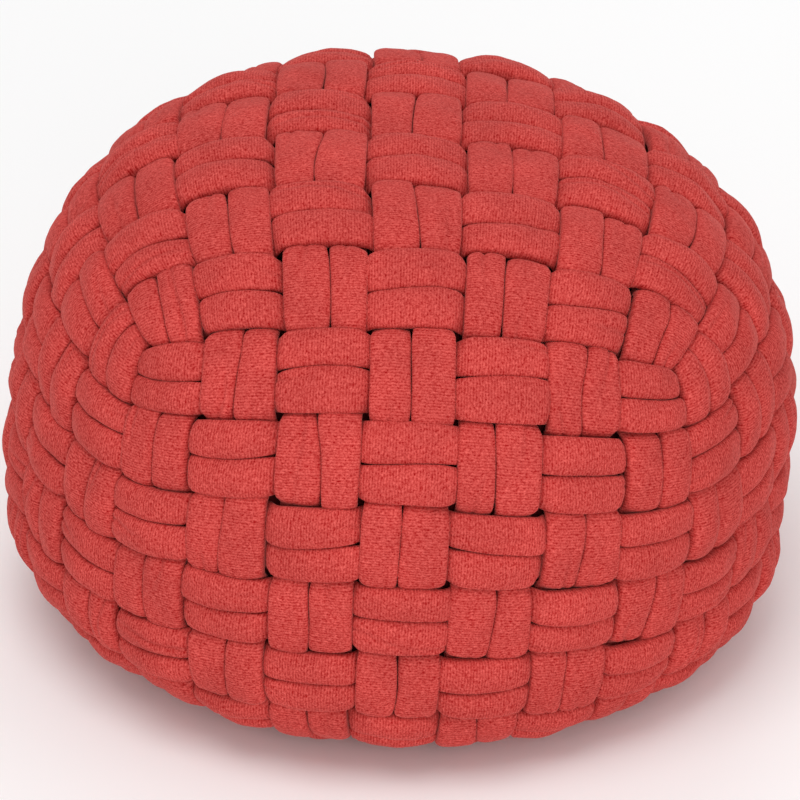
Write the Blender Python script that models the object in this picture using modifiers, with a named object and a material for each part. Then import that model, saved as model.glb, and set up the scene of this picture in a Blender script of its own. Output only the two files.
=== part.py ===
"""Round floor pouf woven from padded fabric strands, all of it built from a few sizes.

The outside is a ball weave. Seven pairs of closed strands run in each of three directions, so that
the body is divided like a rounded cube into six fields of seven by seven crossings. A pair passes
over the next crossing pair and under the one after it. Inside are an inner bag, sewn from gores
and two end discs, and the filling. Units are metres, +Z is up, and the origin is on the floor
under the middle of the pouf.
"""

import math

import bmesh
import bpy
import numpy as np

# Driving dimensions of the body, measured on the middle surface of the weave.
BODY_RADIUS = 0.240
CROWN_HEIGHT = 0.233
UNDERSIDE_DEPTH = 0.108
SEAT_DEPTH = 0.087
ROUNDNESS = 2.95
BASE_EDGE_SHARPNESS = 7.0
LEAN = math.radians(5.2)

# The weave.
PAIRS = 7
STEPS_PER_CELL = 4
CELL_LEAN = math.radians(2.9)
CELL_TURN = math.radians(-4.5)
TOP_SPREAD = 0.8
UPRIGHT_SHORTENING = 0.06
RELAX_ROUNDS = (160, 30, 30)
RELAX_STIFFNESS = (0.02, 0.5, 0.5)
STRAND_THICKNESS = 0.0070
LAYER_SPACING = 0.0112
GAP_SHARE = 0.14
TURN_SHARE = 0.08
PAIR_SLIT_SHARE = 0.012
FLOOR_PRESS = 0.0024

# The inner bag and the filling.
BAG_INSET = 0.0135
BAG_THICKNESS = 0.0015
BAG_GORES = 6
BAG_SEAM_GAP = 0.0020
GORE_ROWS = 8
GORE_COLUMNS = 4
DISC_ANGLE = math.radians(17)
DISC_SIDES = 18
FILLING_INSET = 0.0195
FILLING_SEGMENTS = 16
FILLING_RINGS = 10

# Colours, linear.
STRAND_COLOUR = (0.60, 0.055, 0.050, 1.0)
BAG_COLOUR = (0.16, 0.012, 0.014, 1.0)
FILLING_COLOUR = (0.80, 0.79, 0.76, 1.0)

# Which axes a family of strands runs along, and which axis counts its rows.
FAMILIES = {
    "belt_strand": {"along": (0, 1), "across": 2, "starts_over": 0},
    "side_loop": {"along": (0, 2), "across": 1, "starts_over": 1},
    "front_loop": {"along": (1, 2), "across": 0, "starts_over": 0},
}


def clear_scene():
    for old in list(bpy.data.objects):
        bpy.data.objects.remove(old, do_unlink=True)


def new_collection(name):
    collection = bpy.data.collections.new(name)
    bpy.context.scene.collection.children.link(collection)
    return collection


def new_material(name, colour, roughness):
    material = bpy.data.materials.new(name)
    material.use_nodes = True
    shader = material.node_tree.nodes["Principled BSDF"]
    shader.inputs["Base Color"].default_value = colour
    shader.inputs["Roughness"].default_value = roughness
    shader.inputs["Metallic"].default_value = 0.0
    material.diffuse_color = colour
    return material


def turn_about_y(angle):
    """Rotation that takes row vectors into a frame leaning by the angle about Y."""
    c, s = math.cos(angle), math.sin(angle)
    return np.array([[c, 0.0, s], [0.0, 1.0, 0.0], [-s, 0.0, c]])


def turn_about_x(angle):
    """Rotation that turns row vectors by the angle about X."""
    c, s = math.cos(angle), math.sin(angle)
    return np.array([[1.0, 0.0, 0.0], [0.0, c, s], [0.0, -s, c]])


def onto_body(points, inset=0.0):
    """Moves points along their ray from the body's centre onto its surface.

    The surface is a leaning superellipsoid, flatter below than above, cut by the floor with a
    rounded edge. Both parts grow evenly along a ray, so one division lands on the surface.
    """
    leaning = points @ turn_about_y(LEAN)
    radius = BODY_RADIUS - inset
    heights = np.where(leaning[:, 2] > 0, CROWN_HEIGHT - inset, UNDERSIDE_DEPTH - inset)
    around = np.hypot(leaning[:, 0], leaning[:, 1]) / radius
    upwards = np.abs(leaning[:, 2]) / heights
    ball = (around ** ROUNDNESS + upwards ** ROUNDNESS) ** (1 / ROUNDNESS)
    seat = np.maximum(-points[:, 2], 0.0) / (SEAT_DEPTH - inset)
    sharp = BASE_EDGE_SHARPNESS
    return points / ((ball ** sharp + seat ** sharp) ** (1 / sharp))[:, None]


def cube_grid(size):
    """Grid points on a cube's six faces, shared at its edges, and the lines between them."""
    index = {}
    faces = []
    lines = set()
    for axis in range(3):
        for sign in (-1, 1):
            ids = np.empty((size + 1, size + 1), dtype=int)
            for i in range(size + 1):
                for j in range(size + 1):
                    key = [0, 0, 0]
                    key[axis] = sign * size
                    key[(axis + 1) % 3] = 2 * i - size
                    key[(axis + 2) % 3] = 2 * j - size
                    ids[i, j] = index.setdefault(tuple(key), len(index))
            faces.append(ids)
            for a, b in ((ids[:-1], ids[1:]), (ids[:, :-1], ids[:, 1:])):
                pairs = np.sort(np.stack([a.ravel(), b.ravel()], axis=1), axis=1)
                lines.update(map(tuple, pairs.tolist()))
    return index, faces, np.array(sorted(lines))


def upright_lines(index, lines):
    """True for each line of the grid that runs up a side of the cube."""
    levels = np.array(list(index))[:, 2]
    return levels[lines[:, 0]] != levels[lines[:, 1]]


def halve_spacing(points, faces, finer_faces):
    """Adds a point half-way along every line and in the middle of every square."""
    finer = np.zeros((max(ids.max() for ids in finer_faces) + 1, 3))
    for ids, finer_ids in zip(faces, finer_faces):
        grid = points[ids]
        rows = np.empty((grid.shape[0] * 2 - 1, grid.shape[1], 3))
        rows[::2] = grid
        rows[1::2] = (grid[1:] + grid[:-1]) / 2
        both = np.empty((rows.shape[0], rows.shape[1] * 2 - 1, 3))
        both[:, ::2] = rows
        both[:, 1::2] = (rows[:, 1:] + rows[:, :-1]) / 2
        finer[finer_ids] = both
    return finer


def relax(points, lines, upright, level):
    """Evens out the net as tightening a weave does: all lines pull towards one length.

    Lines higher up keep a little more length, because the seat spreads the strands there, and the
    upright ones keep a little less, because the pouf is pressed down.
    """
    first, second = lines[:, 0], lines[:, 1]
    count = len(points)
    valence = np.bincount(lines.ravel(), minlength=count)[:, None]
    for _ in range(RELAX_ROUNDS[level]):
        step = points[second] - points[first]
        length = np.linalg.norm(step, axis=1)
        share = 1 + TOP_SPREAD * (points[first, 2] + points[second, 2]) / 2
        share -= UPRIGHT_SHORTENING * upright
        wanted = (length / share).mean() * share
        pull = step * (1 - wanted / length + RELAX_STIFFNESS[level])[:, None]
        moved = np.zeros_like(points)
        for axis in range(3):
            moved[:, axis] = np.bincount(first, pull[:, axis], count)
            moved[:, axis] -= np.bincount(second, pull[:, axis], count)
        points = onto_body(points + 0.45 * moved / valence)
    return points


def weave_net():
    """Positions and outward normals of the net that the strands follow."""
    size = PAIRS
    index, faces, lines = cube_grid(size)
    cube = np.array(list(index), dtype=float) / size
    points = np.tan(cube * math.pi / 4) @ turn_about_y(-CELL_LEAN) @ turn_about_x(CELL_TURN)
    points = relax(onto_body(points), lines, upright_lines(index, lines), 0)
    for level in (1, 2):
        size *= 2
        index, finer_faces, lines = cube_grid(size)
        points = halve_spacing(points, faces, finer_faces)
        points = relax(points, lines, upright_lines(index, lines), level)
        faces = finer_faces
    normals = np.zeros_like(points)
    for ids in faces:
        grid = points[ids]
        diagonal_a = grid[1:, 1:] - grid[:-1, :-1]
        diagonal_b = grid[:-1, 1:] - grid[1:, :-1]
        facing = np.cross(diagonal_a, diagonal_b)
        middle = (grid[1:, 1:] + grid[:-1, :-1]) / 2
        facing *= np.sign((facing * middle).sum(axis=2))[:, :, None]
        for corner in (ids[:-1, :-1], ids[1:, :-1], ids[:-1, 1:], ids[1:, 1:]):
            np.add.at(normals, corner, facing)
    normals /= np.linalg.norm(normals, axis=1)[:, None]
    return index, points, normals


def ring_position(step, size):
    """Place on the outline of a square of half side size, going round it from one corner."""
    side, along = divmod(step, size)
    run = 2 * along - size
    return ((run, -size), (size, run), (-run, size), (-size, -run))[side % 4]


def family_sheet(family, net):
    """The net's points and normals as rows across and steps along one family of strands."""
    index, points, normals = net
    size = PAIRS * STEPS_PER_CELL
    ids = np.empty((size + 1, 4 * size), dtype=int)
    for row in range(size + 1):
        for step in range(4 * size):
            key = [0, 0, 0]
            key[family["along"][0]], key[family["along"][1]] = ring_position(step, size)
            key[family["across"]] = 2 * row - size
            ids[row, step] = index[tuple(key)]
    return points[ids], normals[ids]


def between(sheet, row, step):
    """A value of the sheet at a place between its rows and steps."""
    row_0 = min(int(math.floor(row)), sheet.shape[0] - 2)
    step_0 = int(math.floor(step))
    u, v = row - row_0, step - step_0
    step_0, step_1 = step_0 % sheet.shape[1], (step_0 + 1) % sheet.shape[1]
    low = sheet[row_0, step_0] * (1 - v) + sheet[row_0, step_1] * v
    high = sheet[row_0 + 1, step_0] * (1 - v) + sheet[row_0 + 1, step_1] * v
    return low * (1 - u) + high * u


def at_corner(row, column):
    """True for the crossing at a corner of a field, and for the next one along each edge."""
    edge = (0, PAIRS - 1)
    ends = (0, 1, PAIRS - 2, PAIRS - 1)
    return (row in edge and column in ends) or (row in ends and column in edge)


def strand_points(family, sheet, pair, member):
    """Section corners of one strand: a section at each end of every crossing, of four corners.

    The crossings at the body's eight rounded corners are bent, and have a section half-way too.
    """
    places, normals = sheet
    gap = STEPS_PER_CELL * GAP_SHARE / 2
    turn = STEPS_PER_CELL * TURN_SHARE / 2
    slit = STEPS_PER_CELL * PAIR_SLIT_SHARE / 2
    first_row = STEPS_PER_CELL * pair
    middle_row = first_row + STEPS_PER_CELL / 2
    last_row = first_row + STEPS_PER_CELL
    low_row, high_row = (
        (first_row + gap, middle_row - slit),
        (middle_row + slit, last_row - gap),
    )[member]
    corners = []
    for cell in range(4 * PAIRS):
        is_over = (cell + pair + family["starts_over"]) % 2 == 0
        layer = LAYER_SPACING / 2 if is_over else -LAYER_SPACING / 2
        start = STEPS_PER_CELL * cell
        steps = [start + turn, start + STEPS_PER_CELL - turn]
        if at_corner(pair, cell % PAIRS):
            steps.insert(1, start + STEPS_PER_CELL / 2)
        for step in steps:
            for row, side in ((low_row, 0.5), (high_row, 0.5), (high_row, -0.5), (low_row, -0.5)):
                height = layer + side * STRAND_THICKNESS
                corners.append(between(places, row, step) + height * between(normals, row, step))
    return np.array(corners)


def make_strand(name, corners, collection, material):
    """A torus with one four-sided ring for each section, its corners moved to their places."""
    bpy.ops.mesh.primitive_torus_add(major_segments=len(corners) // 4, minor_segments=4)
    strand = bpy.context.object
    strand.name = name
    strand.data.name = name
    for vertex, place in zip(strand.data.vertices, corners):
        vertex.co = place
    face_outwards(strand.data)
    finish(strand, collection, material)


def face_outwards(mesh):
    work = bmesh.new()
    work.from_mesh(mesh)
    bmesh.ops.recalc_face_normals(work, faces=work.faces)
    work.to_mesh(mesh)
    work.free()


def finish(thing, collection, material):
    thing.data.materials.clear()
    thing.data.materials.append(material)
    for user in list(thing.users_collection):
        user.objects.unlink(thing)
    collection.objects.link(thing)


def make_strands(collection, material):
    """All strands, moved so that the pouf stands on the floor round the origin."""
    net = weave_net()
    strands = {}
    for family_name, family in FAMILIES.items():
        sheet = family_sheet(family, net)
        for pair in range(PAIRS):
            for member in range(2):
                name = f"{family_name}_{2 * pair + member + 1:02d}"
                strands[name] = strand_points(family, sheet, pair, member)
    everything = np.concatenate(list(strands.values()))
    low, high = everything.min(axis=0), everything.max(axis=0)
    shift = np.array([-(low[0] + high[0]) / 2, -(low[1] + high[1]) / 2, -low[2] - FLOOR_PRESS])
    for name, corners in strands.items():
        placed = corners + shift
        placed[:, 2] = np.maximum(placed[:, 2], 0.0)
        make_strand(name, placed, collection, material)
    return shift


def direction(azimuth, polar):
    """Unit vector, the polar angle counted from straight up."""
    flat = math.sin(polar)
    return (flat * math.cos(azimuth), flat * math.sin(azimuth), math.cos(polar))


def wall(name, mesh, collection, material):
    """Gives an open panel on the bag's outer face its thickness, inwards."""
    panel = bpy.data.objects.new(name, mesh)
    thickness = panel.modifiers.new("bag cloth", "SOLIDIFY")
    thickness.thickness = BAG_THICKNESS
    thickness.offset = -1.0
    thickness.use_even_offset = True
    mesh.shade_smooth()
    finish(panel, collection, material)


def make_gore(number, shift, collection, material):
    """One gore: a grid bent over the body between two seams and the two end discs."""
    seam = BAG_SEAM_GAP / BODY_RADIUS
    width = 2 * math.pi / BAG_GORES
    work = bmesh.new()
    bmesh.ops.create_grid(work, x_segments=GORE_COLUMNS, y_segments=GORE_ROWS, size=1.0)
    for vertex in work.verts:
        across, down = vertex.co.x / 2, (1 - vertex.co.y) / 2
        polar = DISC_ANGLE + seam + down * (math.pi - 2 * DISC_ANGLE - 2 * seam)
        level_seam = seam / math.sin(polar)
        azimuth = number * width + across * (width - level_seam)
        vertex.co = onto_body(np.array([direction(azimuth, polar)]), BAG_INSET)[0] + shift
    name = f"bag_gore_{number + 1}"
    mesh = bpy.data.meshes.new(name)
    work.to_mesh(mesh)
    work.free()
    wall(name, mesh, collection, material)


def make_disc(name, upper, shift, collection, material):
    """One end disc of the bag, a filled circle bent onto the body."""
    seam = BAG_SEAM_GAP / BODY_RADIUS
    work = bmesh.new()
    bmesh.ops.create_circle(work, cap_ends=True, cap_tris=True, segments=DISC_SIDES, radius=1.0)
    for vertex in work.verts:
        polar = vertex.co.xy.length * (DISC_ANGLE - seam)
        azimuth = math.atan2(vertex.co.y, vertex.co.x)
        if not upper:
            polar, azimuth = math.pi - polar, -azimuth
        vertex.co = onto_body(np.array([direction(azimuth, polar)]), BAG_INSET)[0] + shift
    mesh = bpy.data.meshes.new(name)
    work.to_mesh(mesh)
    work.free()
    wall(name, mesh, collection, material)


def make_filling(shift, collection, material):
    """The filling, a ball pressed to the inside of the bag."""
    work = bmesh.new()
    bmesh.ops.create_uvsphere(
        work, u_segments=FILLING_SEGMENTS, v_segments=FILLING_RINGS, radius=1.0
    )
    for vertex in work.verts:
        vertex.co = onto_body(np.array([vertex.co[:]]), FILLING_INSET)[0] + shift
    mesh = bpy.data.meshes.new("filling")
    work.to_mesh(mesh)
    work.free()
    mesh.shade_smooth()
    finish(bpy.data.objects.new("filling", mesh), collection, material)


def build():
    clear_scene()
    collection = new_collection("woven_pouf")
    strand_cloth = new_material("strand_knit", STRAND_COLOUR, 0.9)
    bag_cloth = new_material("bag_cotton", BAG_COLOUR, 0.85)
    filling_foam = new_material("filling_foam", FILLING_COLOUR, 0.8)
    shift = make_strands(collection, strand_cloth)
    for number in range(BAG_GORES):
        make_gore(number, shift, collection, bag_cloth)
    make_disc("bag_top_disc", True, shift, collection, bag_cloth)
    make_disc("bag_base_disc", False, shift, collection, bag_cloth)
    make_filling(shift, collection, filling_foam)


build()
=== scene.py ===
# %% [markdown]
# # A floor pouf woven from padded fabric strands
# The pouf is a ball weave. Forty-two closed strands run round it in pairs, seven pairs in each of
# three directions, and every pair goes over the next crossing pair and under the one after it.
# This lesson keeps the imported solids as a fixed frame, and builds a soft, knitted strand over each
# of them. Lengths are metres, +Z is up and -Y is the front.

# %% The frame
import math

import bmesh
import bpy
import numpy as np
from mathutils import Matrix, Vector


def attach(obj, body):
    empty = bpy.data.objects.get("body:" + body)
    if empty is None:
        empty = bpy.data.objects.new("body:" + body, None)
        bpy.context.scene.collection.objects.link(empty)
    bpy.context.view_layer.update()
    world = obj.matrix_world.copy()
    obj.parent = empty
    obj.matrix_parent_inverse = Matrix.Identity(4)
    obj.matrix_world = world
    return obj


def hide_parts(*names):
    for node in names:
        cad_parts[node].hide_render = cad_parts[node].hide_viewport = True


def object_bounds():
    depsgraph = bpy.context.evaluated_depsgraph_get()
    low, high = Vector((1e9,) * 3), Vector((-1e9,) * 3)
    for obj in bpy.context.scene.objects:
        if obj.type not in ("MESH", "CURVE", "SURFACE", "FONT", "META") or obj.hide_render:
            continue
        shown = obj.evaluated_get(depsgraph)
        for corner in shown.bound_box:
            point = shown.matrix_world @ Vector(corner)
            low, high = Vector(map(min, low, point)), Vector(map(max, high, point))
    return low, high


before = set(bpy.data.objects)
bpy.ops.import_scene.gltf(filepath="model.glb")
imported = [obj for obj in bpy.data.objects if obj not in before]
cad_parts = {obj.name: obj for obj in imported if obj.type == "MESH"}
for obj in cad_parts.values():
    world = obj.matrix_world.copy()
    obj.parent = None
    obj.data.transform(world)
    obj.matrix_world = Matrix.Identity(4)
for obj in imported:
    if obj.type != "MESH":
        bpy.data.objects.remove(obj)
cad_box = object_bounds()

print("the frame holds", len(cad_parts), "nodes")

# %% [markdown]
# ## The body the strands lie on
# The real pouf is a bag of filling that its own weight and many sitters have pressed into a low
# bun, a little higher on one side. A superellipsoid has that shape: round seen from above, with
# fuller shoulders than a ball. It leans by a few degrees and a soft-edged plane flattens it below.
# Points are moved along their ray from the middle onto it, which needs one division and no search.

# %% The body
body = {
    "radius": 0.240,
    "crown": 0.233,
    "underside": 0.108,
    "seat": 0.087,
    "roundness": 2.95,
    "base_edge": 7.0,
    "lean": math.radians(5.2),
}


def turned_about_y(angle):
    c, s = math.cos(angle), math.sin(angle)
    return np.array([[c, 0.0, s], [0.0, 1.0, 0.0], [-s, 0.0, c]])


def turned_about_x(angle):
    c, s = math.cos(angle), math.sin(angle)
    return np.array([[1.0, 0.0, 0.0], [0.0, c, s], [0.0, -s, c]])


def onto_body(points, inset=0.0):
    leaning = points @ turned_about_y(body["lean"])
    heights = np.where(leaning[:, 2] > 0, body["crown"] - inset, body["underside"] - inset)
    around = np.hypot(leaning[:, 0], leaning[:, 1]) / (body["radius"] - inset)
    upwards = np.abs(leaning[:, 2]) / heights
    power = body["roundness"]
    ball = (around**power + upwards**power) ** (1 / power)
    seat = np.maximum(-points[:, 2], 0.0) / (body["seat"] - inset)
    sharp = body["base_edge"]
    return points / ((ball**sharp + seat**sharp) ** (1 / sharp))[:, None]


print("body, height to width:", round((body["crown"] + body["seat"]) / body["radius"] / 2, 3))

# %% [markdown]
# ## The net of crossings
# A ball weave divides the body like a rounded cube: six fields of seven by seven crossings, with
# eight corners where three fields meet. On the real pouf the strands have slid until they are
# evenly tight. The same is done here. A grid on a cube is put on the body, and every line in it
# pulls towards one length until the net is even. It starts coarse, with one square for each
# crossing, and is halved twice, because a fine net alone would take very long to settle.

# %% Grid on a cube
PAIRS = 7
STEPS = 4


def cube_grid(size):
    """Shared grid points on six faces, and the lines between neighbours."""
    index, faces, lines = {}, [], set()
    for axis in range(3):
        for sign in (-1, 1):
            ids = np.empty((size + 1, size + 1), dtype=int)
            for i in range(size + 1):
                for j in range(size + 1):
                    key = [0, 0, 0]
                    key[axis] = sign * size
                    key[(axis + 1) % 3] = 2 * i - size
                    key[(axis + 2) % 3] = 2 * j - size
                    ids[i, j] = index.setdefault(tuple(key), len(index))
            faces.append(ids)
            for a, b in ((ids[:-1], ids[1:]), (ids[:, :-1], ids[:, 1:])):
                ends = np.sort(np.stack([a.ravel(), b.ravel()], axis=1), axis=1)
                lines.update(map(tuple, ends.tolist()))
    return index, faces, np.array(sorted(lines))


def halve_spacing(points, faces, finer_faces):
    finer = np.zeros((max(ids.max() for ids in finer_faces) + 1, 3))
    for ids, finer_ids in zip(faces, finer_faces):
        grid = points[ids]
        rows = np.empty((grid.shape[0] * 2 - 1, grid.shape[1], 3))
        rows[::2] = grid
        rows[1::2] = (grid[1:] + grid[:-1]) / 2
        both = np.empty((rows.shape[0], rows.shape[1] * 2 - 1, 3))
        both[:, ::2] = rows
        both[:, 1::2] = (rows[:, 1:] + rows[:, :-1]) / 2
        finer[finer_ids] = both
    return finer


# %% Relaxing the net
# One value for each level, from the coarse net to the fine one.
SETTLE_ROUNDS = (160, 30, 30)
SETTLE_STIFFNESS = (0.02, 0.5, 0.5)
SETTLE_STEP = 0.45
# The crossings are wider near the top, and a little shorter up and down than sideways.
TOP_SPREAD = 0.8
UPRIGHT_SHORTENING = 0.06


def relax(points, index, lines, level):
    first, second = lines[:, 0], lines[:, 1]
    levels = np.array(list(index))[:, 2]
    upright = levels[first] != levels[second]
    valence = np.bincount(lines.ravel(), minlength=len(points))[:, None]
    for _ in range(SETTLE_ROUNDS[level]):
        step = points[second] - points[first]
        length = np.linalg.norm(step, axis=1)
        share = 1 + TOP_SPREAD * (points[first, 2] + points[second, 2]) / 2
        share -= UPRIGHT_SHORTENING * upright
        wanted = (length / share).mean() * share
        pull = step * (1 - wanted / length + SETTLE_STIFFNESS[level])[:, None]
        moved = np.zeros_like(points)
        for axis in range(3):
            moved[:, axis] = np.bincount(first, pull[:, axis], len(points))
            moved[:, axis] -= np.bincount(second, pull[:, axis], len(points))
        points = onto_body(points + SETTLE_STEP * moved / valence)
    return points


# %% The net, from coarse to fine
# The weave sits a little askew on the body.
NET_LEAN = math.radians(2.9)
NET_TIP = math.radians(4.5)


def weave_net():
    size = PAIRS
    index, faces, lines = cube_grid(size)
    cube = np.array(list(index), dtype=float) / size
    start = np.tan(cube * math.pi / 4)
    start = start @ turned_about_y(-NET_LEAN) @ turned_about_x(-NET_TIP)
    points = relax(onto_body(start), index, lines, 0)
    for level in (1, 2):
        size *= 2
        index, finer_faces, lines = cube_grid(size)
        points = relax(halve_spacing(points, faces, finer_faces), index, lines, level)
        faces = finer_faces
    return index, faces, points


net_index, net_faces, net_points = weave_net()
print("net points:", len(net_points))

# %% Which way is out
def net_normals(points, faces):
    normals = np.zeros_like(points)
    for ids in faces:
        grid = points[ids]
        facing = np.cross(grid[1:, 1:] - grid[:-1, :-1], grid[:-1, 1:] - grid[1:, :-1])
        middle = (grid[1:, 1:] + grid[:-1, :-1]) / 2
        facing *= np.sign((facing * middle).sum(axis=2))[:, :, None]
        for corner in (ids[:-1, :-1], ids[1:, :-1], ids[:-1, 1:], ids[1:, 1:]):
            np.add.at(normals, corner, facing)
    return normals / np.linalg.norm(normals, axis=1)[:, None]


net_out = net_normals(net_points, net_faces)
print("the net is", round(float(np.ptp(net_points[:, 0])), 3), "m wide")

# %% [markdown]
# ## Three families of strands
# Fourteen strands run round the body like belts, fourteen stand in loops over the top from side to
# side, and fourteen in loops from front to back. Each loop crosses four of the six fields of the
# net. A family is read off the net as a sheet, with rows across its strands and steps along them
# all the way round, so that one function can lay any strand of any family.

# %% The three families of strands
families = {
    "belt_strand": {"along": (0, 1), "across": 2, "starts_over": 0},
    "side_loop": {"along": (0, 2), "across": 1, "starts_over": 1},
    "front_loop": {"along": (1, 2), "across": 0, "starts_over": 0},
}


def ring_position(step, size):
    side, along = divmod(step, size)
    run = 2 * along - size
    return ((run, -size), (size, run), (-run, size), (-size, -run))[side % 4]


def family_sheet(family):
    """Points and outward directions, as rows across and steps along the strands."""
    size = PAIRS * STEPS
    ids = np.empty((size + 1, 4 * size), dtype=int)
    for row in range(size + 1):
        for step in range(4 * size):
            key = [0, 0, 0]
            key[family["along"][0]], key[family["along"][1]] = ring_position(step, size)
            key[family["across"]] = 2 * row - size
            ids[row, step] = net_index[tuple(key)]
    return net_points[ids], net_out[ids]


sheets = {name: family_sheet(family) for name, family in families.items()}
print("each sheet has rows and steps", sheets["belt_strand"][0].shape[:2])

# %% [markdown]
# ## Where the net stands in the frame
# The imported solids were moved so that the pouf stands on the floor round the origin. The net is
# moved the same way: its outline, pushed out by the thickness of the outer strands, is centred in
# the frame's own box and brought up to its top.

# %% Net into the frame
# How far the outer strands stand out from the net.
OUTER_STRAND = 0.0091

outline = net_points + OUTER_STRAND * net_out
low, high = outline.min(axis=0), outline.max(axis=0)
shift = (np.array(cad_box[0]) + np.array(cad_box[1]) - low - high) / 2
shift[2] = cad_box[1][2] - high[2]
print("the net is moved by", shift.round(4))

# %% [markdown]
# ## The camera and the light
# The pouf is seen from well above, with a long lens and from far away, so that its lines hardly
# converge. The light is a wide soft one from above and in front, with pale surroundings, which
# leaves only thin dark lines between the strands. The view is Blender's standard one, because it
# shows the colours of the cloths as they are given.

# %% Camera
view = {"distance": 3.5, "raise": math.radians(31.5), "lens": 241.875}
aim = Vector((0.001, 0.0, 0.1385))
camera = bpy.data.objects.new("camera", bpy.data.cameras.new("camera"))
bpy.context.scene.collection.objects.link(camera)
camera.location = (
    0.0,
    -view["distance"] * math.cos(view["raise"]),
    view["distance"] * math.sin(view["raise"]),
)
camera.rotation_euler = (aim - camera.location).to_track_quat("-Z", "Y").to_euler()
camera.data.sensor_width = 36.0
camera.data.lens = view["lens"]
camera.data.clip_end = 50.0
bpy.context.scene.camera = camera
print("lens", round(camera.data.lens), "mm")


# %% Light
def soft_light(name, place, target, size, power):
    lamp = bpy.data.lights.new(name, "AREA")
    lamp.shape = "DISK"
    lamp.size = size
    lamp.energy = power
    thing = bpy.data.objects.new(name, lamp)
    bpy.context.scene.collection.objects.link(thing)
    thing.location = place
    thing.rotation_euler = (Vector(target) - Vector(place)).to_track_quat("-Z", "Y").to_euler()
    return thing


soft_light("overhead_light", (-0.4, -0.9, 2.4), (0, 0, 0.15), 1.6, 20)
soft_light("front_light", (0.5, -2.6, 0.9), (0, 0, 0.15), 1.8, 20)
soft_light("back_light", (0.3, 2.2, 1.6), (0, 0, 0.2), 1.5, 11)
world = bpy.data.worlds.new("pale_room")
world.use_nodes = True
background = world.node_tree.nodes["Background"]
background.inputs["Color"].default_value = (1, 1, 1, 1)
background.inputs["Strength"].default_value = 0.65
bpy.context.scene.world = world
bpy.context.scene.view_settings.view_transform = "Standard"
print(len(bpy.data.lights), "soft lights and a pale room")

# %% [markdown]
# ## Small helpers
# Both shaders and geometry are made of nodes. One function adds a node, sets it and links it, so
# that each later line reads as one step. Where a whole node is given as an input, its first output
# is meant.

# %% Node and colour helpers
def add(tree, kind, inputs=None, **settings):
    made = tree.nodes.new(kind)
    for name, value in settings.items():
        setattr(made, name, value)
    for key, value in (inputs or {}).items():
        if isinstance(value, bpy.types.Node):
            value = value.outputs[0]
        if isinstance(value, bpy.types.NodeSocket):
            tree.links.new(value, made.inputs[key])
        else:
            made.inputs[key].default_value = value
    return made


def linear(hex_colour):
    """An sRGB hex colour as the linear values that Blender's sockets take."""
    parts = [int(hex_colour[i : i + 2], 16) / 255 for i in (1, 3, 5)]
    flat = [p / 12.92 if p <= 0.04045 else ((p + 0.055) / 1.055) ** 2.4 for p in parts]
    return (*flat, 1.0)


def new_cloth(name):
    material = bpy.data.materials.new(name)
    material.use_nodes = True
    tree = material.node_tree
    return material, tree, tree.nodes["Principled BSDF"]


print("coral red is", [round(v, 3) for v in linear("#cd4440")[:3]], "in linear light")

# %% [markdown]
# ## Velour knit
# The strands are sleeves of a fine knitted velour, dyed coral red. Its knit rows run across the
# strand, about 1.7 mm apart, and a short pile stands on them. The pile scatters light, so the
# cloth has no highlight, looks paler where it turns away, and shows small flecks where the pile
# lies one way or the other. Their colour is painted shade in the pile's hollows and painted light
# on its tips. The rows follow the strand, so they are drawn on an attribute that each strand
# carries: its length and its girth, in metres.

# %% Where the pattern lies
# The knit and its pile, in metres, and how wide a patch of rubbed pile is.
KNIT_ROW = 0.0017
PILE_TUFT = 0.0012
RUBBED_PATCH = 0.0357

velour, tree, shader = new_cloth("velour_knit")
object_place = add(tree, "ShaderNodeTexCoord").outputs["Object"]
strand_place = add(tree, "ShaderNodeAttribute", attribute_name="strand_uv").outputs["Vector"]
along_strand = add(tree, "ShaderNodeSeparateXYZ", {0: strand_place}).outputs["X"]
print("velour knit, rows every", KNIT_ROW * 1000, "mm")

# %% Relief of the knit and its pile
# There is about one fleck of pile to a knit row, longer across the strand than along it.
FLECKS_PER_ROW = 1.15
FLECKS_ACROSS = 0.85

squeeze = (1 / KNIT_ROW, FLECKS_ACROSS / KNIT_ROW, 1.0)
squeezed = add(tree, "ShaderNodeVectorMath", {0: strand_place, 1: squeeze}, operation="MULTIPLY")
fleck_sizes = {"Vector": squeezed, "Scale": FLECKS_PER_ROW, "Detail": 2.0, "Roughness": 0.6}
flecks = add(tree, "ShaderNodeTexNoise", fleck_sizes)
pile_sizes = {"Vector": object_place, "Scale": 1 / PILE_TUFT, "Detail": 2.0, "Roughness": 0.7}
pile = add(tree, "ShaderNodeTexNoise", pile_sizes)

# Knit rows: a wave along the strand, broken up by the flecks.
ROW_BREAKING = 7.0
row_turns = {0: along_strand, 1: 2 * math.pi / KNIT_ROW}
rows = add(tree, "ShaderNodeMath", row_turns, operation="MULTIPLY")
rows = add(tree, "ShaderNodeMath", {0: flecks, 1: ROW_BREAKING, 2: rows}, operation="MULTIPLY_ADD")
rows = add(tree, "ShaderNodeMath", {0: rows}, operation="SINE")

# Rows, flecks and pile together, as the height of the surface.
ROW_HEIGHT = 0.12
PILE_HEIGHT = 1.5
relief = add(tree, "ShaderNodeMath", {0: rows, 1: ROW_HEIGHT, 2: flecks}, operation="MULTIPLY_ADD")
relief = add(tree, "ShaderNodeMath", {0: pile, 1: PILE_HEIGHT, 2: relief}, operation="MULTIPLY_ADD")
bump = add(tree, "ShaderNodeBump", {"Height": relief, "Distance": 0.0009, "Strength": 0.38})
print("relief of", len(tree.nodes), "nodes so far")
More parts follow.
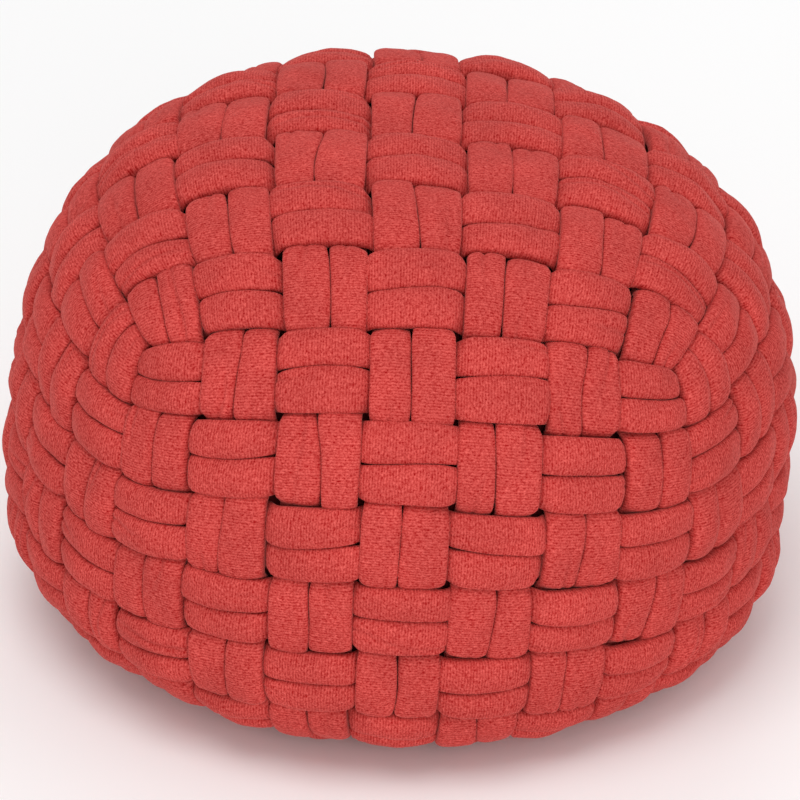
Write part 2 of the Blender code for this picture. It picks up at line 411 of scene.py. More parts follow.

# %% Colour of the velour
# Painted shade and light: the coral red follows the relief, deeper in the pile's hollows and paler on
# its tips.
tone = add(tree, "ShaderNodeMapRange", {"Value": relief, "From Min": 0.82, "From Max": 1.78})
pile_red_painted_shade = add(tree, "ShaderNodeMix", {"Factor": tone}, data_type="RGBA")
pile_red_painted_shade.inputs["A"].default_value = linear("#9a080b")
pile_red_painted_shade.inputs["B"].default_value = linear("#e3645d")

# Wide patches where the pile has been rubbed one way are a little paler or deeper.
patches = add(
    tree,
    "ShaderNodeTexNoise",
    {"Vector": object_place, "Scale": 1 / RUBBED_PATCH, "Detail": 3.0, "Roughness": 0.55},
)
patch_tone = add(
    tree,
    "ShaderNodeMapRange",
    {"Value": patches, "From Min": 0.3, "From Max": 0.7, "To Min": 0.90, "To Max": 1.08},
)
colour = {0: pile_red_painted_shade.outputs["Result"], "Scale": patch_tone.outputs[0]}
colour = add(tree, "ShaderNodeVectorMath", colour, operation="SCALE")

# %% Finish of the velour
# No highlight, and a paler sheen where the pile turns away.
tree.links.new(colour.outputs[0], shader.inputs["Base Color"])
tree.links.new(bump.outputs[0], shader.inputs["Normal"])
for name, value in (
    ("Roughness", 0.95),
    ("IOR", 1.4),
    ("Specular IOR Level", 0.12),
    ("Sheen Weight", 0.32),
    ("Sheen Roughness", 0.30),
    ("Sheen Tint", linear("#ffa39a")),
):
    shader.inputs[name].default_value = value
print("velour of", len(tree.nodes), "nodes")

# %% [markdown]
# ## One strand as a rule
# A strand is a padded sleeve. Where it passes over, it lies high and full; near the end of the
# crossing it turns down steeply and dives under the next pair. It could be sculpted by hand, but
# there are forty-two of them and all follow that one rule, so Geometry Nodes make it. The path of
# a strand is a loop of points that carry what the rule needs: which way is out, which way is
# across, and how far each point is from the middle of the nearest crossing where the strand is on
# top. The tree bends a grid into a tube round that path. Its section is a flattened ring with
# full, rounded sides, and the ends of each crossing are rounded in plan.

# %% The strand tree and its inputs
# Points of the grid: along the strand for each crossing, and round its section.
STATIONS_PER_CELL = 18
SIDES = 40

padded_strand = bpy.data.node_groups.new("padded_strand", "GeometryNodeTree")
strand_inputs = {}
for kind, names in (
    ("Geometry", ["Path"]),
    ("Int", ["Stations", "Sides"]),
    ("Float", ["Half thickness", "Layer rise", "Turn starts", "Turn length", "Section power"]),
    ("Float", ["Pair side", "Crown", "Sink", "Arch", "Puckers", "Seed"]),
    ("Material", ["Cloth"]),
):
    for name in names:
        socket = padded_strand.interface.new_socket(
            name, in_out="INPUT", socket_type="NodeSocket" + kind
        )
        strand_inputs[name] = socket.identifier
padded_strand.interface.new_socket("Strand", in_out="OUTPUT", socket_type="NodeSocketGeometry")
tree = padded_strand
given = add(tree, "NodeGroupInput").outputs
print("the strand tree takes", len(strand_inputs), "inputs")

# %% A flat grid: columns are stations along the strand, rows are points round it
columns = add(tree, "ShaderNodeMath", {0: given["Stations"], 1: 1.0}, operation="ADD")
around = add(tree, "ShaderNodeMath", {0: given["Sides"], 1: 1.0}, operation="ADD")
grid = add(tree, "GeometryNodeMeshGrid", {"Vertices X": columns, "Vertices Y": around})
number = add(tree, "GeometryNodeInputIndex")

# A part of a step is added before rounding down, so that no error takes it a whole step off.
column = add(tree, "ShaderNodeMath", {0: number, 1: 0.5}, operation="ADD")
column = add(tree, "ShaderNodeMath", {0: column, 1: around}, operation="DIVIDE")
column = add(tree, "ShaderNodeMath", {0: column}, operation="FLOOR")
passed = add(tree, "ShaderNodeMath", {0: column, 1: around}, operation="MULTIPLY")
row = add(tree, "ShaderNodeMath", {0: number, 1: passed}, operation="SUBTRACT")
turn = add(tree, "ShaderNodeMath", {0: row, 1: given["Sides"]}, operation="DIVIDE")

# The last column closes the loop, so it stands at the first station again.
station = add(tree, "ShaderNodeMath", {0: column, 1: 0.25}, operation="ADD")
station = add(tree, "ShaderNodeMath", {0: station, 1: given["Stations"]}, operation="MODULO")
station = add(tree, "ShaderNodeMath", {0: station}, operation="FLOOR")
print("grid of", 4 * PAIRS * STATIONS_PER_CELL, "stations by", SIDES, "points")

# %% What the path carries, read at each station
carried = {
    "FLOAT": ("from_over", "half_width", "drift", "lift", "crease_place", "crease_depth", "along"),
    "FLOAT_VECTOR": ("middle", "across", "bow", "out", "out_turn"),
}
at_station = {}
for kind, names in carried.items():
    for name in names:
        field = add(tree, "GeometryNodeInputNamedAttribute", {"Name": name}, data_type=kind)
        inputs = {"Geometry": given["Path"], "Value": field, "Index": station}
        at_station[name] = add(
            tree, "GeometryNodeSampleIndex", inputs, data_type=kind, domain="POINT"
        )
from_over = at_station["from_over"]
print("each station reads", len(at_station), "values off the path")

# %% Round the section
# Most of the points go on the upper half, which is the half that shows.
TURN_PARTS = (0.0, 0.175, 0.825, 1.0)

first, upper, last = (
    add(tree, "ShaderNodeMapRange", {"Value": turn, "From Min": start, "From Max": end})
    for start, end in zip(TURN_PARTS, TURN_PARTS[1:])
)
lower = add(tree, "ShaderNodeMath", {0: first, 1: last}, operation="ADD")
lower_angle = add(tree, "ShaderNodeMath", {0: lower, 1: math.pi / 2}, operation="MULTIPLY")
upper_angle = add(tree, "ShaderNodeMath", {0: upper, 1: math.pi}, operation="MULTIPLY")
angle = add(tree, "ShaderNodeMath", {0: lower_angle, 1: upper_angle}, operation="ADD")
angle = add(tree, "ShaderNodeMath", {0: angle, 1: math.pi / 2}, operation="SUBTRACT")

# The section is a superellipse: flat above and below, with full, rounded sides.
section_power = given["Section power"]
sideways = add(tree, "ShaderNodeMath", {0: angle}, operation="COSINE")
off_axis = add(tree, "ShaderNodeMath", {0: sideways}, operation="ABSOLUTE")
share = add(tree, "ShaderNodeMath", {0: off_axis, 1: section_power}, operation="POWER")
share = add(tree, "ShaderNodeMath", {0: 1.0, 1: share}, operation="SUBTRACT")
share = add(tree, "ShaderNodeMath", {0: share, 1: 0.0}, operation="MAXIMUM")
root = add(tree, "ShaderNodeMath", {0: 1.0, 1: section_power}, operation="DIVIDE")
share = add(tree, "ShaderNodeMath", {0: share, 1: root}, operation="POWER")
half = add(tree, "ShaderNodeMath", {0: angle}, operation="SINE")
half = add(tree, "ShaderNodeMath", {0: half}, operation="SIGN")
upwards = add(tree, "ShaderNodeMath", {0: share, 1: half}, operation="MULTIPLY")
topwards = add(tree, "ShaderNodeMath", {0: upwards, 1: 0.0}, operation="MAXIMUM")
print("the section, with", len(tree.nodes), "nodes so far")

# %% The dive at each end of a crossing
# Its edge is rounded in plan, across the whole pair and across each strand. Places along a
# strand are in crossings, counted from the middle of the one where it is on top.
PAIR_ROUNDING = 0.055
STRAND_ROUNDING = 0.02

across_pair = add(tree, "ShaderNodeMath", {0: sideways, 1: given["Pair side"]}, operation="ADD")
across_pair = add(tree, "ShaderNodeMath", {0: across_pair, 1: 0.5}, operation="MULTIPLY")
across_pair = add(tree, "ShaderNodeMath", {0: across_pair}, operation="ABSOLUTE")
pair_round = add(tree, "ShaderNodeMath", {0: across_pair, 1: 3.0}, operation="POWER")
pair_round = add(tree, "ShaderNodeMath", {0: pair_round, 1: PAIR_ROUNDING}, operation="MULTIPLY")
strand_round = add(tree, "ShaderNodeMath", {0: off_axis, 1: 4.0}, operation="POWER")
strand_round = add(
    tree, "ShaderNodeMath", {0: strand_round, 1: STRAND_ROUNDING}, operation="MULTIPLY"
)
rounding = add(tree, "ShaderNodeMath", {0: pair_round, 1: strand_round}, operation="ADD")
distance = add(tree, "ShaderNodeMath", {0: from_over, 1: rounding}, operation="ADD")
turn_starts = given["Turn starts"]
turn_ends = add(tree, "ShaderNodeMath", {0: turn_starts, 1: given["Turn length"]}, operation="ADD")
dive = add(
    tree,
    "ShaderNodeMapRange",
    {"Value": distance, "From Min": turn_starts, "From Max": turn_ends, "To Min": 1.0, "To Max": -1.0},
    interpolation_type="SMOOTHSTEP",
)
rise = add(tree, "ShaderNodeMath", {0: dive, 1: given["Layer rise"]}, operation="MULTIPLY")
steepness = add(tree, "ShaderNodeMath", {0: dive}, operation="ABSOLUTE")
print("the dive, with", len(tree.nodes), "nodes so far")

# %% How the sleeve changes along a crossing
# It is narrower where it dives, crowned on top, squashed in the turn, and pressed flatter below
# a crossing, which keeps it clear of the pair on top. A row says what a change follows, over
# which stretch, between which values, and how.
along_crossing = {}
for name, follows, stretch, values, shape in (
    ("narrowing", from_over, (0.30, 0.60), (1.0, 0.93), "SMOOTHSTEP"),
    ("crown", from_over, (0.0, 0.6), (1.0, 0.0), "SMOOTHSTEP"),
    ("squashed", steepness, (0.0, 0.9), (0.78, 1.0), "LINEAR"),
    ("pressed", dive, (-1.0, 0.2), (0.76, 1.0), "LINEAR"),
):
    inputs = dict(zip(("From Min", "From Max", "To Min", "To Max"), stretch + values))
    along_crossing[name] = add(
        tree, "ShaderNodeMapRange", {"Value": follows, **inputs}, interpolation_type=shape
    )
print("a sleeve changes in", len(along_crossing), "ways along a crossing")

# %% Height of the sleeve's skin over the net
thick = {0: given["Half thickness"], 1: along_crossing["squashed"]}
thickness = add(tree, "ShaderNodeMath", thick, operation="MULTIPLY")
thick = {0: thickness, 1: along_crossing["pressed"]}
thickness = add(tree, "ShaderNodeMath", thick, operation="MULTIPLY")
bulge = add(tree, "ShaderNodeMath", {0: upwards, 1: thickness}, operation="MULTIPLY")
height = add(tree, "ShaderNodeMath", {0: rise, 1: bulge}, operation="ADD")

# The crown: fuller in the middle of its width and of its length.
fullness = add(tree, "ShaderNodeMath", {0: off_axis, 1: 2.0}, operation="POWER")
fullness = add(tree, "ShaderNodeMath", {0: 1.0, 1: fullness}, operation="SUBTRACT")
crown = add(tree, "ShaderNodeMath", {0: fullness, 1: along_crossing["crown"]}, operation="MULTIPLY")
crown = add(tree, "ShaderNodeMath", {0: crown, 1: given["Crown"]}, operation="MULTIPLY")
crown = add(tree, "ShaderNodeMath", {0: crown, 1: topwards}, operation="MULTIPLY")
height = add(tree, "ShaderNodeMath", {0: height, 1: crown}, operation="ADD")
level = add(tree, "ShaderNodeMath", {0: at_station["lift"], 1: given["Sink"]}, operation="SUBTRACT")
height = add(tree, "ShaderNodeMath", {0: height, 1: level}, operation="ADD")

# %% The arch over the pair below
# Each crossing stays filled as it arches, so only its underside is flat.
ARCH_REACH = 0.56

arch = add(tree, "ShaderNodeMath", {0: from_over, 1: ARCH_REACH}, operation="DIVIDE")
arch = add(tree, "ShaderNodeMath", {0: arch, 1: arch}, operation="MULTIPLY")
arch = add(tree, "ShaderNodeMath", {0: 1.0, 1: arch}, operation="SUBTRACT")
arch = add(tree, "ShaderNodeMath", {0: arch, 1: 0.0}, operation="MAXIMUM")
lifted = add(tree, "ShaderNodeMath", {0: upwards, 1: 1.0}, operation="ADD")
lifted = add(tree, "ShaderNodeMath", {0: lifted, 1: 1.0}, operation="MINIMUM")
arch = add(tree, "ShaderNodeMath", {0: arch, 1: lifted}, operation="MULTIPLY")
arch = add(tree, "ShaderNodeMath", {0: arch, 1: given["Arch"]}, operation="MULTIPLY")
height = add(tree, "ShaderNodeMath", {0: height, 1: arch}, operation="ADD")

# %% Creases
# Where a sleeve was pulled tight, a fold runs along it. Its width is a share of half the sleeve.
CREASE_WIDTH = 0.13

off_crease = {0: sideways, 1: at_station["crease_place"]}
crease = add(tree, "ShaderNodeMath", off_crease, operation="SUBTRACT")
crease = add(tree, "ShaderNodeMath", {0: crease, 1: CREASE_WIDTH}, operation="DIVIDE")
crease = add(tree, "ShaderNodeMath", {0: crease, 1: crease}, operation="MULTIPLY")
crease = add(tree, "ShaderNodeMath", {0: crease, 1: -1.0}, operation="MULTIPLY")
crease = add(tree, "ShaderNodeMath", {0: crease}, operation="EXPONENT")
crease_depth = {0: crease, 1: at_station["crease_depth"]}
crease = add(tree, "ShaderNodeMath", crease_depth, operation="MULTIPLY")
crease = add(tree, "ShaderNodeMath", {0: crease, 1: topwards}, operation="MULTIPLY")
height = add(tree, "ShaderNodeMath", {0: height, 1: crease}, operation="SUBTRACT")
print("height, arch and creases, with", len(tree.nodes), "nodes so far")

# %% The place on the net: across it by the width, following its curve
width = {0: sideways, 1: at_station["half_width"]}
reach = add(tree, "ShaderNodeMath", width, operation="MULTIPLY")
reach = add(tree, "ShaderNodeMath", {0: reach, 1: along_crossing["narrowing"]}, operation="MULTIPLY")
reach = add(tree, "ShaderNodeMath", {0: at_station["drift"], 1: reach}, operation="ADD")
reach_squared = add(tree, "ShaderNodeMath", {0: reach, 1: reach}, operation="MULTIPLY")

across = {0: at_station["across"], "Scale": reach}
across = add(tree, "ShaderNodeVectorMath", across, operation="SCALE")
bow = {0: at_station["bow"], "Scale": reach_squared}
bow = add(tree, "ShaderNodeVectorMath", bow, operation="SCALE")
out_turn = {0: at_station["out_turn"], "Scale": reach}
out_turn = add(tree, "ShaderNodeVectorMath", out_turn, operation="SCALE")
spot = add(tree, "ShaderNodeVectorMath", {0: at_station["middle"], 1: across}, operation="ADD")
spot = add(tree, "ShaderNodeVectorMath", {0: spot, 1: bow}, operation="ADD")
outwards = add(tree, "ShaderNodeVectorMath", {0: at_station["out"], 1: out_turn}, operation="ADD")
outwards = add(tree, "ShaderNodeVectorMath", {0: outwards}, operation="NORMALIZE")
print("the place, with", len(tree.nodes), "nodes so far")

# %% Puckers
# The padding is never quite even under the cloth: wide swellings with smaller ones on them. A
# row is how many swellings lie in a metre, and their share of the pucker height.
SWELLINGS = ((34.0, 1.0), (90.0, 0.42))
FLOOR_GAP = 0.0002

offset = add(tree, "ShaderNodeVectorMath", {0: outwards, "Scale": height}, operation="SCALE")
smooth_skin = add(tree, "ShaderNodeVectorMath", {0: spot, 1: offset}, operation="ADD")
for scale, share in SWELLINGS:
    noise = add(
        tree,
        "ShaderNodeTexNoise",
        {"Vector": smooth_skin, "W": given["Seed"], "Scale": scale, "Detail": 1.0, "Roughness": 0.4},
        noise_dimensions="4D",
    )
    pucker = add(tree, "ShaderNodeMath", {0: noise, 1: 0.5}, operation="SUBTRACT")
    pucker = add(tree, "ShaderNodeMath", {0: pucker, 1: given["Puckers"]}, operation="MULTIPLY")
    pucker = add(tree, "ShaderNodeMath", {0: pucker, 1: share}, operation="MULTIPLY")
    height = add(tree, "ShaderNodeMath", {0: height, 1: pucker}, operation="ADD")
offset = add(tree, "ShaderNodeVectorMath", {0: outwards, "Scale": height}, operation="SCALE")
skin = add(tree, "ShaderNodeVectorMath", {0: spot, 1: offset}, operation="ADD")

# What would be pushed below the floor lies on it.
x, y, z = add(tree, "ShaderNodeSeparateXYZ", {0: skin}).outputs
z = add(tree, "ShaderNodeMath", {0: z, 1: FLOOR_GAP}, operation="MAXIMUM")
resting = add(tree, "ShaderNodeCombineXYZ", {0: x, 1: y, 2: z})
bent = add(tree, "GeometryNodeSetPosition", {"Geometry": grid, "Position": resting})
print("puckers in", len(SWELLINGS), "sizes")

# %% Length and girth for the knit, and the finished strand
# About half the width of a strand, in metres, and how close points are that become one.
HALF_STRAND = 0.0083
WELD = 0.00001

girth = add(tree, "ShaderNodeMath", {0: upper_angle}, operation="COSINE")
girth = add(tree, "ShaderNodeMath", {0: 1.0, 1: girth}, operation="SUBTRACT")
girth = add(tree, "ShaderNodeMath", {0: girth, 1: lower}, operation="ADD")
girth = add(tree, "ShaderNodeMath", {0: girth, 1: HALF_STRAND}, operation="MULTIPLY")
knit_place = add(tree, "ShaderNodeCombineXYZ", {0: at_station["along"], 1: girth, 2: 0.0})
named = add(
    tree,
    "GeometryNodeStoreNamedAttribute",
    {"Geometry": bent, "Name": "strand_uv", "Value": knit_place},
    data_type="FLOAT_VECTOR",
    domain="POINT",
)
closed = add(tree, "GeometryNodeMergeByDistance", {"Geometry": named, "Distance": WELD})
smooth = add(tree, "GeometryNodeSetShadeSmooth", {"Geometry": closed})
real = add(tree, "GeometryNodeRealizeInstances", {"Geometry": smooth})
dressed = add(tree, "GeometryNodeSetMaterial", {"Geometry": real, "Material": given["Cloth"]})
add(tree, "NodeGroupOutput", {0: dressed})
print("strand tree:", len(tree.nodes), "nodes")

# %% [markdown]
# ## The paths
# Each path is read off the net, by a smooth curve through its points so that no step shows. No
# two strands of a hand-woven pouf are alike: one of a pair is a little wider, the slit between
# them wanders, and some crossings sit higher. Small smooth changes with a fixed seed give that.
# They are drawn at knots a few steps of the net apart. Sideways sizes are in steps of the net,
# sizes along a strand in crossings, and heights in metres.

# %% Smooth lines round a loop
def round_the_loop(values, steps):
    """Smooth cyclic interpolation (Catmull-Rom) of values at fractional steps."""
    whole = np.floor(steps).astype(int)
    t = (steps - whole).reshape(-1, *([1] * (values.ndim - 1)))
    p0, p1, p2, p3 = (values[(whole + k) % len(values)] for k in (-1, 0, 1, 2))
    cubed = t * (3 * (p1 - p2) + p3 - p0)
    return p1 + 0.5 * t * (p2 - p0 + t * (2 * p0 - 5 * p1 + 4 * p2 - p3 + cubed))


def wander(rng, steps, spacing, amount):
    """A smooth random line round the loop, with a new value every few steps."""
    knots = rng.uniform(-amount, amount, int(round(4 * PAIRS * STEPS / spacing)))
    return round_the_loop(knots, steps / spacing)


# %% Reading a path off the net
HALF_WIDTH = 0.935
TOWARDS_PAIR = 0.062
# How much each size wanders, and after how many steps it may turn.
SLIT = {"belt_strand": (3, 0.20), "side_loop": (3, 0.20), "front_loop": (3, 0.28)}
PAIR_SHIFT = (4, 0.09)
LIFT = (4, 0.0012)
END_SHIFT = (4, 0.035)
WIDTH = (2, 0.03)
CREASED = (4, 1.0)
CREASE_PLACE = (3, 0.6)
# A crease shows where its wander passes this limit, and deepens by this much for each unit more.
CREASE_LIMIT = 0.25
CREASE_DEPTH = 0.0030


def strand_path(family_name, pair, member):
    """What the tree needs to know at each station of one strand."""
    points, outs = sheets[family_name]
    side = 1 if member else -1
    middle_row = STEPS * pair + STEPS // 2 + side
    count = 4 * PAIRS * STATIONS_PER_CELL
    under_cell = (pair + families[family_name]["starts_over"] + 1) % 2
    over_cell = 1 - under_cell
    cells = (under_cell + 0.5 + np.arange(count) / STATIONS_PER_CELL) % (4 * PAIRS)
    from_over = np.abs((cells - over_cell - 0.5 + 1) % 2 - 1)
    steps = cells * STEPS
    near, middle, far = (
        round_the_loop(points[middle_row + k], steps) + shift for k in (-1, 0, 1)
    )
    near_out, middle_out, far_out = (
        round_the_loop(outs[middle_row + k], steps) for k in (-1, 0, 1)
    )
    gap = np.linalg.norm(np.roll(middle, -1, axis=0) - middle, axis=1)

    seed = 1000 * list(families).index(family_name) + 10 * pair
    shared = np.random.default_rng(seed)
    own = np.random.default_rng(seed + 1 + member)
    slit = wander(shared, steps, *SLIT[family_name])
    pair_shift = wander(shared, steps, *PAIR_SHIFT)
    lift = wander(own, steps, *LIFT)
    end_shift = wander(own, steps, *END_SHIFT)
    half_width = HALF_WIDTH - side * slit / 2 + wander(own, steps, *WIDTH)
    creased = np.maximum(wander(own, steps, *CREASED) - CREASE_LIMIT, 0.0)
    crease_place = wander(own, steps, *CREASE_PLACE)
    return {
        "middle": middle,
        "across": (far - near) / 2,
        "bow": (far + near - 2 * middle) / 2,
        "out": middle_out,
        "out_turn": (far_out - near_out) / 2,
        "from_over": from_over + end_shift,
        "half_width": half_width,
        "drift": -side * TOWARDS_PAIR + slit / 2 + pair_shift,
        "lift": lift,
        "crease_depth": CREASE_DEPTH * creased,
        "crease_place": crease_place,
        "along": np.concatenate([[0.0], np.cumsum(gap)[:-1]]),
    }


trial = strand_path("belt_strand", 3, 0)
print("a belt strand half-way up is", round(float(trial["along"][-1]), 2), "m long")

# %% [markdown]
# ## Making the strands
# Each path becomes a mesh of loose points that carries the values, the tree turns it into a
# strand, and the result is kept as a plain mesh. Every strand is its own padded piece and stands
# for one strand of the frame.

# %% Making one strand
strand_sizes = {
    "Stations": 4 * PAIRS * STATIONS_PER_CELL,
    "Sides": SIDES,
    "Half thickness": 0.0045,
    "Layer rise": 0.0043,
    "Turn starts": 0.485,
    "Turn length": 0.19,
    "Puckers": 0.0034,
}
# The loops that run from front to back were pulled tighter, so they lie flatter than the others.
tightness = {
    "belt_strand": {"Section power": 2.9, "Crown": 0.0018, "Sink": 0.0028, "Arch": 0.0038},
    "side_loop": {"Section power": 2.8, "Crown": 0.0018, "Sink": 0.0034, "Arch": 0.0050},
    "front_loop": {"Section power": 4.0, "Crown": 0.0008, "Sink": 0.0026, "Arch": 0.0030},
}


def turn_outwards(mesh):
    """A closed mesh is turned inside out if its faces point inwards."""
    work = bmesh.new()
    work.from_mesh(mesh)
    if work.calc_volume(signed=True) < 0:
        bmesh.ops.reverse_faces(work, faces=work.faces)
    work.to_mesh(mesh)
    work.free()


def path_object(name, path):
    """Loose points that carry the values of a path."""
    mesh = bpy.data.meshes.new(name)
    mesh.from_pydata(path["middle"].tolist(), [], [])
    for key, values in path.items():
        kind, field = ("FLOAT_VECTOR", "vector") if values.ndim == 2 else ("FLOAT", "value")
        mesh.attributes.new(key, kind, "POINT").data.foreach_set(field, values.ravel())
    carrier = bpy.data.objects.new(name, mesh)
    bpy.context.scene.collection.objects.link(carrier)
    return carrier


def make_strand(node_name, family_name, pair, member):
    carrier = path_object(node_name + "_path", strand_path(family_name, pair, member))
    modifier = carrier.modifiers.new("padded strand", "NODES")
    modifier.node_group = padded_strand
    sizes = strand_sizes | tightness[family_name]
    sizes["Pair side"] = 1.0 if member else -1.0
    sizes["Seed"] = float(pair + 7 * member + 20 * list(families).index(family_name))
    sizes["Cloth"] = velour
    for name, value in sizes.items():
        modifier[strand_inputs[name]] = value
    evaluated = carrier.evaluated_get(bpy.context.evaluated_depsgraph_get())
    made = bpy.data.meshes.new_from_object(evaluated)
    bpy.data.objects.remove(carrier, do_unlink=True)
    made.name = node_name + "_sleeve"
    turn_outwards(made)
    strand = bpy.data.objects.new(node_name + "_sleeve", made)
    bpy.context.scene.collection.objects.link(strand)
    return strand


# %% All the strands
for family_name in families:
    for pair in range(PAIRS):
        for member in range(2):
            node_name = f"{family_name}_{2 * pair + member + 1:02d}"
            strand = make_strand(node_name, family_name, pair, member)
            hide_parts(node_name)
            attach(strand, "root")
    print(family_name, "strands made, each of", len(strand.data.polygons), "faces")

# %% [markdown]
# ## The inner bag and the filling
# They can be seen only through the pinholes between the strands. The bag is plain-weave cotton,
# coloured a dark red that paints the shade seen through the pinholes, and sewn from six gores
# between two round end panels. The filling is loose white fibre that has settled against it.

# %% Bag cotton and filling
# The cotton's threads lie about 0.6 mm apart, which is too fine to show between the strands, so
# broader slanting bands stand for them. This is how far apart they lie along each axis. A wave
# texture on the diagonal turns by this many radians in each unit.
COTTON_BAND = 0.00754
WAVE_RADIANS = 10

cotton, tree, shader = new_cloth("plain_weave_cotton")
object_place = add(tree, "ShaderNodeTexCoord").outputs["Object"]
threads = add(
    tree,
    "ShaderNodeTexWave",
    {"Vector": object_place, "Scale": 2 * math.pi / WAVE_RADIANS / COTTON_BAND, "Distortion": 1.5},
    wave_type="BANDS",
    bands_direction="DIAGONAL",
)
bump = add(tree, "ShaderNodeBump", {"Height": threads.outputs["Fac"], "Distance": 0.0002})
# Painted shade: the cotton is dark red so that what shows through the pinholes looks dark.
shade = add(tree, "ShaderNodeMix", {"Factor": threads.outputs["Fac"]}, data_type="RGBA")
shade.inputs["A"].default_value = linear("#741619")
shade.inputs["B"].default_value = linear("#962327")
tree.links.new(shade.outputs["Result"], shader.inputs["Base Color"])
tree.links.new(bump.outputs[0], shader.inputs["Normal"])
shader.inputs["Roughness"].default_value = 0.9

TUFT = 0.00625
fibre, tree, shader = new_cloth("loose_polyester_fibre")
object_place = add(tree, "ShaderNodeTexCoord").outputs["Object"]
tufts = add(tree, "ShaderNodeTexNoise", {"Vector": object_place, "Scale": 1 / TUFT, "Detail": 4.0})
shade = add(tree, "ShaderNodeMix", {"Factor": tufts.outputs["Fac"]}, data_type="RGBA")
shade.inputs["A"].default_value = linear("#d8d4cc")
shade.inputs["B"].default_value = linear("#f4f2ee")
bump = add(tree, "ShaderNodeBump", {"Height": tufts.outputs["Fac"], "Distance": 0.002})
tree.links.new(shade.outputs["Result"], shader.inputs["Base Color"])
tree.links.new(bump.outputs[0], shader.inputs["Normal"])
shader.inputs["Roughness"].default_value = 0.9

print("cotton bands every", COTTON_BAND * 1000, "mm, tufts of fibre every", TUFT * 1000, "mm")

# %% Points of the bag
BAG_INSET = 0.0160
CLOTH_THICKNESS = 0.0012
GORES = 6
END_ANGLE = math.radians(17)
SEAM = 0.0020 / body["radius"]
# The cloth ripples a little round the bag.
RIPPLE = 0.0004
RIPPLES = 48


def on_bag(azimuth, polar):
    """Points of the bag, from how far round and how far down from the top they lie."""
    ways = np.stack(
        [np.sin(polar) * np.cos(azimuth), np.sin(polar) * np.sin(azimuth), np.cos(polar)], axis=1
    )
    ripple = RIPPLE * np.cos(RIPPLES * azimuth) * np.sin(polar) ** 2
    return onto_body(ways, BAG_INSET) + ways * ripple[:, None] + shift


# %% Panels of the bag
def placed(work, places):
    """The grid or ball in work, with its vertices moved to their places."""
    for vertex, place in zip(work.verts, places):
        vertex.co = place
    return work


def panel(name, work):
    """A grid of cloth given its thickness, as a plain mesh."""
    mesh = bpy.data.meshes.new(name)
    bmesh.ops.recalc_face_normals(work, faces=work.faces)
    work.to_mesh(mesh)
    work.free()
    middle = Vector((0.0, 0.0, shift[2]))
    if sum((f.center - middle).dot(f.normal) for f in mesh.polygons) < 0:
        mesh.flip_normals()
    flat_area = sum(f.area for f in mesh.polygons)
    thing = bpy.data.objects.new(name, mesh)
    bpy.context.scene.collection.objects.link(thing)
    thick = thing.modifiers.new("cloth thickness", "SOLIDIFY")
    thick.thickness = CLOTH_THICKNESS
    evaluated = thing.evaluated_get(bpy.context.evaluated_depsgraph_get())
    made = bpy.data.meshes.new_from_object(evaluated)
    thing.modifiers.clear()
    thing.data = made
    made.shade_smooth()
    made.materials.clear()
    made.materials.append(cotton)
    return thing, flat_area


def gore(number):
    """One gore, with its width and length as cut, and its area."""
    across, down = 24, 56
    work = bmesh.new()
    bmesh.ops.create_grid(work, x_segments=across, y_segments=down, size=1.0)
    grid = np.array([v.co[:] for v in work.verts])
    polar = END_ANGLE + SEAM + (1 - grid[:, 1]) / 2 * (math.pi - 2 * END_ANGLE - 2 * SEAM)
    width = 2 * math.pi / GORES - SEAM / np.sin(polar)
    places = on_bag(number * 2 * math.pi / GORES + grid[:, 0] / 2 * width, polar)
    thing, area = panel(f"bag_gore_{number + 1}_cloth", placed(work, places))
    rows = places.reshape(down + 1, across + 1, 3)
    wide = np.linalg.norm(np.diff(rows, axis=1), axis=2).sum(axis=1).max()
    long = np.linalg.norm(np.diff(rows, axis=0), axis=2).sum(axis=0).mean()
    return thing, (float(wide), float(long)), area


def end_panel(name, upper):
    """A round panel at the top or bottom: a square grid drawn in to a disc."""
    work = bmesh.new()
    bmesh.ops.create_grid(work, x_segments=22, y_segments=22, size=1.0)
    grid = np.array([v.co[:] for v in work.verts])
    square = np.abs(grid[:, :2]).max(axis=1)
    scale = square / np.maximum(np.hypot(grid[:, 0], grid[:, 1]), 1e-9)
    x, y = grid[:, 0] * scale, grid[:, 1] * scale
    polar = np.hypot(x, y) * (END_ANGLE - SEAM)
    places = on_bag(np.arctan2(y, x), polar if upper else math.pi - polar)
    thing, area = panel(name + "_cloth", placed(work, places))
    side = 2 * math.sqrt(area / math.pi)
    return thing, (side, side), area


# %% Filling
FILLING_INSET = 0.0222
# Its lumps are many waves, each with a way and a start of its own.
LUMP_WAVES = 60
LUMP_FINENESS = 14
LUMP_HEIGHT = 0.00006
WHOLE_TURN = 6.28


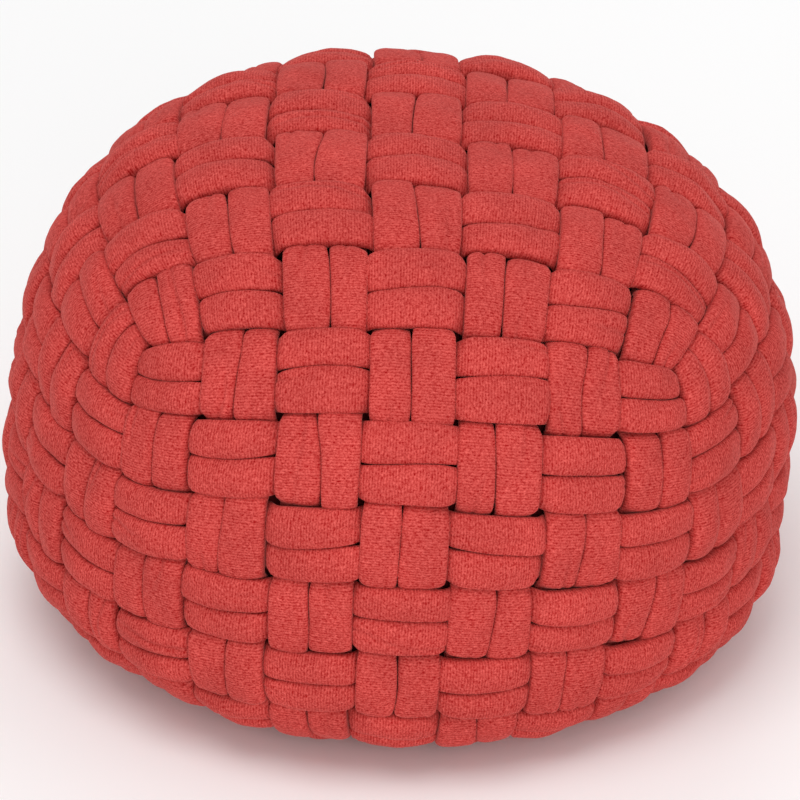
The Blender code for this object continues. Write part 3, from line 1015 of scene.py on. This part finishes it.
def loose_filling():
    """A ball of fibre that lies against the bag, with soft lumps from many crossing waves."""
    work = bmesh.new()
    bmesh.ops.create_icosphere(work, subdivisions=5, radius=1.0)
    ways = np.array([v.co[:] for v in work.verts])
    ways /= np.linalg.norm(ways, axis=1)[:, None]
    lumps = np.zeros(len(ways))
    rng = np.random.default_rng(5)
    for _ in range(LUMP_WAVES):
        wave = rng.normal(size=3)
        lumps += np.cos(LUMP_FINENESS * ways @ wave + rng.uniform(0, WHOLE_TURN))
    places = onto_body(ways, FILLING_INSET) + ways * (LUMP_HEIGHT * lumps)[:, None] + shift
    mesh = bpy.data.meshes.new("filling_fibre")
    placed(work, places).to_mesh(mesh)
    work.free()
    mesh.shade_smooth()
    mesh.materials.append(fibre)
    thing = bpy.data.objects.new("filling_fibre", mesh)
    bpy.context.scene.collection.objects.link(thing)
    return thing


filling = loose_filling()
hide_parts("filling")
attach(filling, "root")
print("filling of", len(filling.data.polygons), "faces")

# %% All the panels
panels = {f"bag_gore_{n + 1}": gore(n) for n in range(GORES)}
panels["bag_top_disc"] = end_panel("bag_top_disc", True)
panels["bag_base_disc"] = end_panel("bag_base_disc", False)
for name, (thing, flat, area) in panels.items():
    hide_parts(name)
    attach(thing, "root")
first_cut = [round(v, 3) for v in panels["bag_gore_1"][1]]
print("bag of", len(panels), "panels, a gore cut", first_cut)

# %% [markdown]
# ## The floor
# A plain pale floor, large enough that its edge never shows.

# %% Floor
FLOOR_HALF = 30.0

floor_mesh = bpy.data.meshes.new("studio_floor")
work = bmesh.new()
bmesh.ops.create_grid(work, x_segments=1, y_segments=1, size=FLOOR_HALF)
work.to_mesh(floor_mesh)
work.free()
floor = bpy.data.objects.new("studio_floor", floor_mesh)
bpy.context.scene.collection.objects.link(floor)
paper, tree, shader = new_cloth("studio_paper")
shader.inputs["Base Color"].default_value = linear("#fdfdfd")
shader.inputs["Roughness"].default_value = 0.9
floor.data.materials.append(paper)
print("floor", 2 * FLOOR_HALF, "m across")

# %% Sizes, and the last line
print("frame box", [[round(v, 4) for v in c] for c in cad_box])
